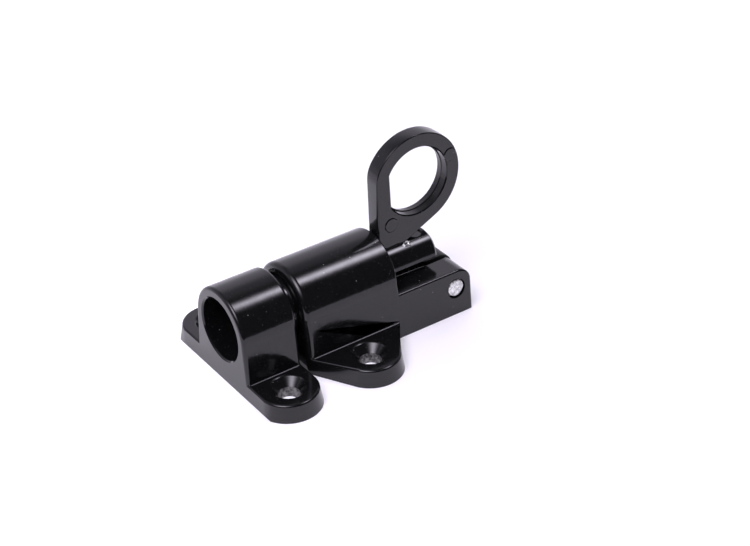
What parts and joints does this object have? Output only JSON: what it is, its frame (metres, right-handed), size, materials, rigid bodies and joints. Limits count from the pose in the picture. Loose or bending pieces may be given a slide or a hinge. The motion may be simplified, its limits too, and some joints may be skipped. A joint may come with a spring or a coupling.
{
  "type": "spring bolt with pull ring and keeper",
  "caption": "Black die-cast spring bolt on a two-eared base, with an upright pull ring on its tail and a separate arched keeper that its nose shoots into.",
  "frame": {"origin": "on the mounting surface, under the bolt's axis, midway between the housing's two screw holes", "axes": "+X along the bolt's axis from the keeper towards the pull ring, +Z away from the mounting surface, +Y to the left seen from the keeper"},
  "size_m": [0.065, 0.0486, 0.0455],
  "materials": {
    "black_coating": "gloss",
    "bare_aluminium": "satin",
    "spring_steel": "satin"
  },
  "bodies": {
    "housing": {"housing": "black_coating", "cross_pin": "bare_aluminium", "spring_stop": "black_coating", "spring": "spring_steel"},
    "bolt": {"bolt": "black_coating", "pull_ring": "black_coating"},
    "keeper": {"keeper": "black_coating"}
  },
  "joints": [
    {"name": "bolt_slide", "type": "slide", "parent": "housing", "child": "bolt", "axis": [1, 0, 0], "range_m": [0, 0.0079], "stiffness_N_per_m": 1550, "springref_m": -0.005, "deforming": ["spring"]},
    {"name": "keeper_release", "type": "slide", "parent": "housing", "child": "keeper", "axis": [-1, 0, 0], "range_m": [0, 0.03]}
  ]
}
